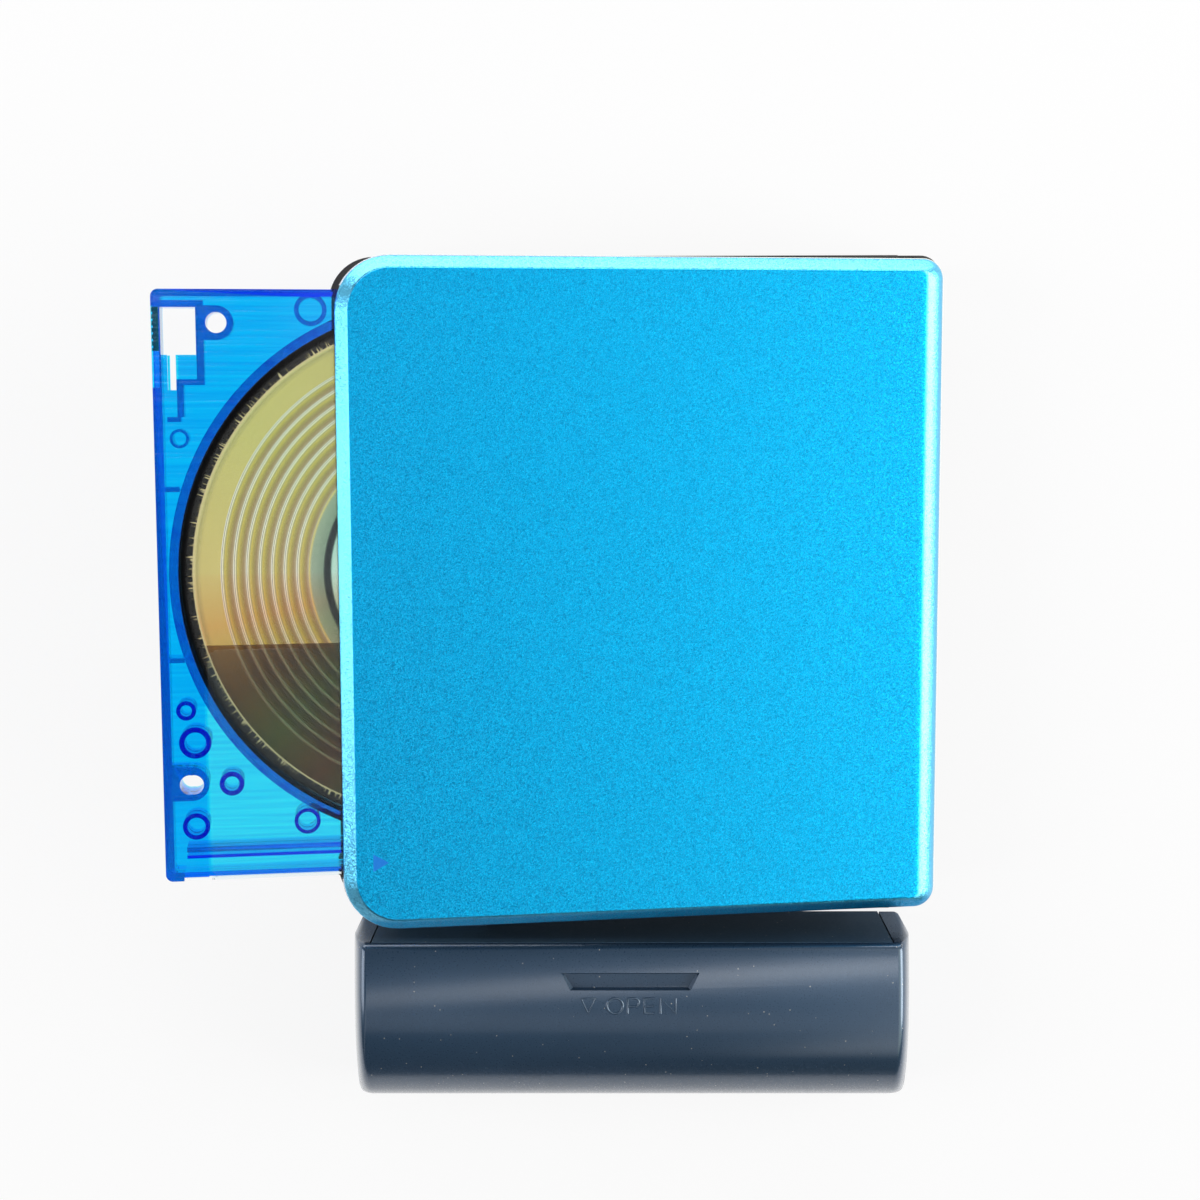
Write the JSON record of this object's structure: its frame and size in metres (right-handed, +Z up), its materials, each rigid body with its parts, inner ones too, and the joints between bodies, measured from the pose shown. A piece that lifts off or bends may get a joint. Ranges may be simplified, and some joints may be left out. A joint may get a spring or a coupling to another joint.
{
  "type": "portable minidisc player",
  "caption": "Flat clamshell disc player, lid popped on its side hinge with a translucent disc cartridge half ejected, and a domed battery case clipped to one side.",
  "frame": {"origin": "centre of the player's flat underside, on the surface it lies on", "axes": "+Z up; +X from the loading edge towards the lid hinge; +Y away from the clip-on battery case"},
  "size_m": [0.0974, 0.1122, 0.029],
  "materials": {
    "case_black": "satin dark grey-brown paint on pressed metal",
    "frame_brown": "fine matt dark grey-brown moulding",
    "lid_blue": "metallic blue paint with fine sparkle",
    "trim_silver": "bright anodised edge",
    "liner_black": "matt moulding",
    "plated_steel": "plated sheet steel",
    "pin_steel": "ground and polished",
    "screw_zinc": "zinc plated",
    "board_green": "solder mask",
    "chip_black": "epoxy",
    "contact_brass": "gold flash",
    "socket_black": "moulded",
    "cell_silver": "printed metal can",
    "key_silver": "silver painted key",
    "slider_white": "natural acetal",
    "shell_blue": "translucent blue polycarbonate",
    "shell_clear": "clear polycarbonate",
    "tab_grey": "dark grey moulding",
    "disc_gold": "coated polycarbonate",
    "hub_steel": "pressed magnetic steel",
    "sled_black": "glass filled resin",
    "lens_blue": "coated lens",
    "navy_gloss": "dark navy moulding with a soft gloss",
    "navy_inner": "dark navy moulding"
  },
  "bodies": {
    "base": {"bottom_case": "case_black", "side_frame": "frame_brown", "chassis_plate": "plated_steel", "circuit_board": "board_green", "board_chips": "chip_black", "spindle_motor": "plated_steel", "guide_rods": "pin_steel", "sled_motor": "plated_steel", "idler_pin": "pin_steel", "headphone_jack": "socket_black", "battery_contacts": "contact_brass", "terminal_block": "socket_black", "hinge_pins": "pin_steel", "hinge_springs": "pin_steel", "case_screws": "screw_zinc", "chassis_screws": "screw_zinc", "switch_board": "board_green", "rechargeable_battery": "cell_silver", "case_tray": "navy_inner", "case_cover_pin": "pin_steel", "aa_cell": "cell_silver", "cell_spring": "pin_steel", "cell_plate": "contact_brass", "plug_pins": "contact_brass"},
    "lid": {"lid_cover": "lid_blue", "lid_trim": "trim_silver", "lid_liner": "liner_black", "hinge_arms": "plated_steel", "lid_catch": "liner_black", "disc_holder": "plated_steel", "holder_screws": "screw_zinc"},
    "eject_slider": {"eject_slider": "slider_white"},
    "cartridge": {"cartridge_top_shell": "shell_blue", "cartridge_bottom_shell": "shell_blue", "cartridge_windows": "shell_clear"},
    "write_protect_tab": {"write_protect_tab": "tab_grey"},
    "shutter": {"cartridge_shutter": "shell_clear"},
    "disc": {"disc": "disc_gold", "disc_hub": "hub_steel"},
    "turntable": {"turntable": "plated_steel", "spindle_shaft": "pin_steel"},
    "pickup": {"pickup_sled": "sled_black", "pickup_lens": "lens_blue"},
    "lead_screw": {"lead_screw": "pin_steel"},
    "idler_gear": {"idler_gear": "slider_white"},
    "motor_pinion": {"motor_pinion": "contact_brass"},
    "stop_button": {"stop_button": "key_silver"},
    "play_button": {"play_button": "key_silver"},
    "previous_button": {"previous_button": "key_silver"},
    "next_button": {"next_button": "key_silver"},
    "volume_down_button": {"volume_down_button": "key_silver"},
    "volume_up_button": {"volume_up_button": "key_silver"},
    "hold_slider": {"hold_slider": "key_silver"},
    "open_slider": {"open_slider": "key_silver"},
    "battery_door": {"battery_door": "case_black"},
    "case_cover": {"case_cover": "navy_gloss"},
    "thumb_screw": {"thumb_screw": "navy_inner"}
  },
  "joints": [
    {"name": "lid_hinge", "type": "hinge", "parent": "base", "child": "lid", "pos_m": [0.034, 0, 0.009], "axis": [0, 1, 0], "range_deg": [-8.9, 0], "stiffness_Nm_per_rad": 0.08, "springref_deg": 34.38},
    {"name": "eject_slide", "type": "slide", "parent": "lid", "child": "eject_slider", "axis": [-0.988, 0, 0.1547], "range_m": [-0.02662, 0.00001]},
    {"name": "cartridge_slide", "type": "slide", "parent": "eject_slider", "child": "cartridge", "axis": [-0.988, 0, 0.1547], "range_m": [0, 0.05]},
    {"name": "write_protect_slide", "type": "slide", "parent": "cartridge", "child": "write_protect_tab", "axis": [0, -1, 0], "range_m": [0, 0.0042]},
    {"name": "shutter_slide", "type": "slide", "parent": "cartridge", "child": "shutter", "axis": [0.988, 0, -0.1547], "range_m": [0, 0.01641]},
    {"name": "disc_spin", "type": "hinge", "parent": "cartridge", "child": "disc", "pos_m": [-0.02346, 0.003, 0.02114], "axis": [0.1547, 0, 0.988], "continuous": true},
    {"name": "turntable_spin", "type": "hinge", "parent": "base", "child": "turntable", "pos_m": [0.00195, 0.003, 0.008], "axis": [0, 0, 1], "continuous": true},
    {"name": "pickup_slide", "type": "slide", "parent": "base", "child": "pickup", "axis": [0, -1, 0], "range_m": [0, 0.016]},
    {"name": "lead_screw_turn", "type": "hinge", "parent": "base", "child": "lead_screw", "pos_m": [0.01645, -0.02, 0.005], "axis": [0, 1, 0], "continuous": true},
    {"name": "idler_turn", "type": "hinge", "parent": "base", "child": "idler_gear", "pos_m": [0.02051, -0.0353, 0.005], "axis": [0, 1, 0], "continuous": true},
    {"name": "pinion_turn", "type": "hinge", "parent": "base", "child": "motor_pinion", "pos_m": [0.02356, -0.0353, 0.005], "axis": [0, 1, 0], "continuous": true},
    {"name": "stop_press", "type": "slide", "parent": "base", "child": "stop_button", "axis": [0, -1, 0], "range_m": [0, 0.0004], "stiffness_N_per_m": 200},
    {"name": "play_press", "type": "slide", "parent": "base", "child": "play_button", "axis": [0, -1, 0], "range_m": [0, 0.0004], "stiffness_N_per_m": 200},
    {"name": "previous_press", "type": "slide", "parent": "base", "child": "previous_button", "axis": [0, -1, 0], "range_m": [0, 0.0004], "stiffness_N_per_m": 200},
    {"name": "next_press", "type": "slide", "parent": "base", "child": "next_button", "axis": [0, -1, 0], "range_m": [0, 0.0004], "stiffness_N_per_m": 200},
    {"name": "volume_down_press", "type": "slide", "parent": "base", "child": "volume_down_button", "axis": [0, -1, 0], "range_m": [0, 0.0004], "stiffness_N_per_m": 200},
    {"name": "volume_up_press", "type": "slide", "parent": "base", "child": "volume_up_button", "axis": [0, -1, 0], "range_m": [0, 0.0004], "stiffness_N_per_m": 200},
    {"name": "hold_slide", "type": "slide", "parent": "base", "child": "hold_slider", "axis": [1, 0, 0], "range_m": [0, 0.002]},
    {"name": "open_slide", "type": "slide", "parent": "base", "child": "open_slider", "axis": [1, 0, 0], "range_m": [-0.0006, 0.003], "stiffness_N_per_m": 100},
    {"name": "battery_door_hinge", "type": "hinge", "parent": "base", "child": "battery_door", "pos_m": [0.0382, 0.0221, 0.0043], "axis": [0, 0, -1], "range_deg": [0, 90]},
    {"name": "case_cover_hinge", "type": "hinge", "parent": "base", "child": "case_cover", "pos_m": [0, -0.0676, 0.0026], "axis": [1, 0, 0], "range_deg": [0, 90]},
    {"name": "thumb_screw_turn", "type": "hinge", "parent": "base", "child": "thumb_screw", "pos_m": [-0.026, -0.045, 0.005], "axis": [0, 1, 0], "continuous": true}
  ],
  "couplings": [
    {"joint": "eject_slide", "follows": "lid_hinge", "m_per_rad": 0.17124},
    {"joint": "shutter_slide", "follows": "cartridge_slide", "ratio": 0.328},
    {"joint": "lead_screw_turn", "follows": "pickup_slide", "rad_per_m": 3141.6},
    {"joint": "idler_turn", "follows": "pickup_slide", "rad_per_m": -3141.6},
    {"joint": "pinion_turn", "follows": "pickup_slide", "rad_per_m": 6283.2}
  ]
}
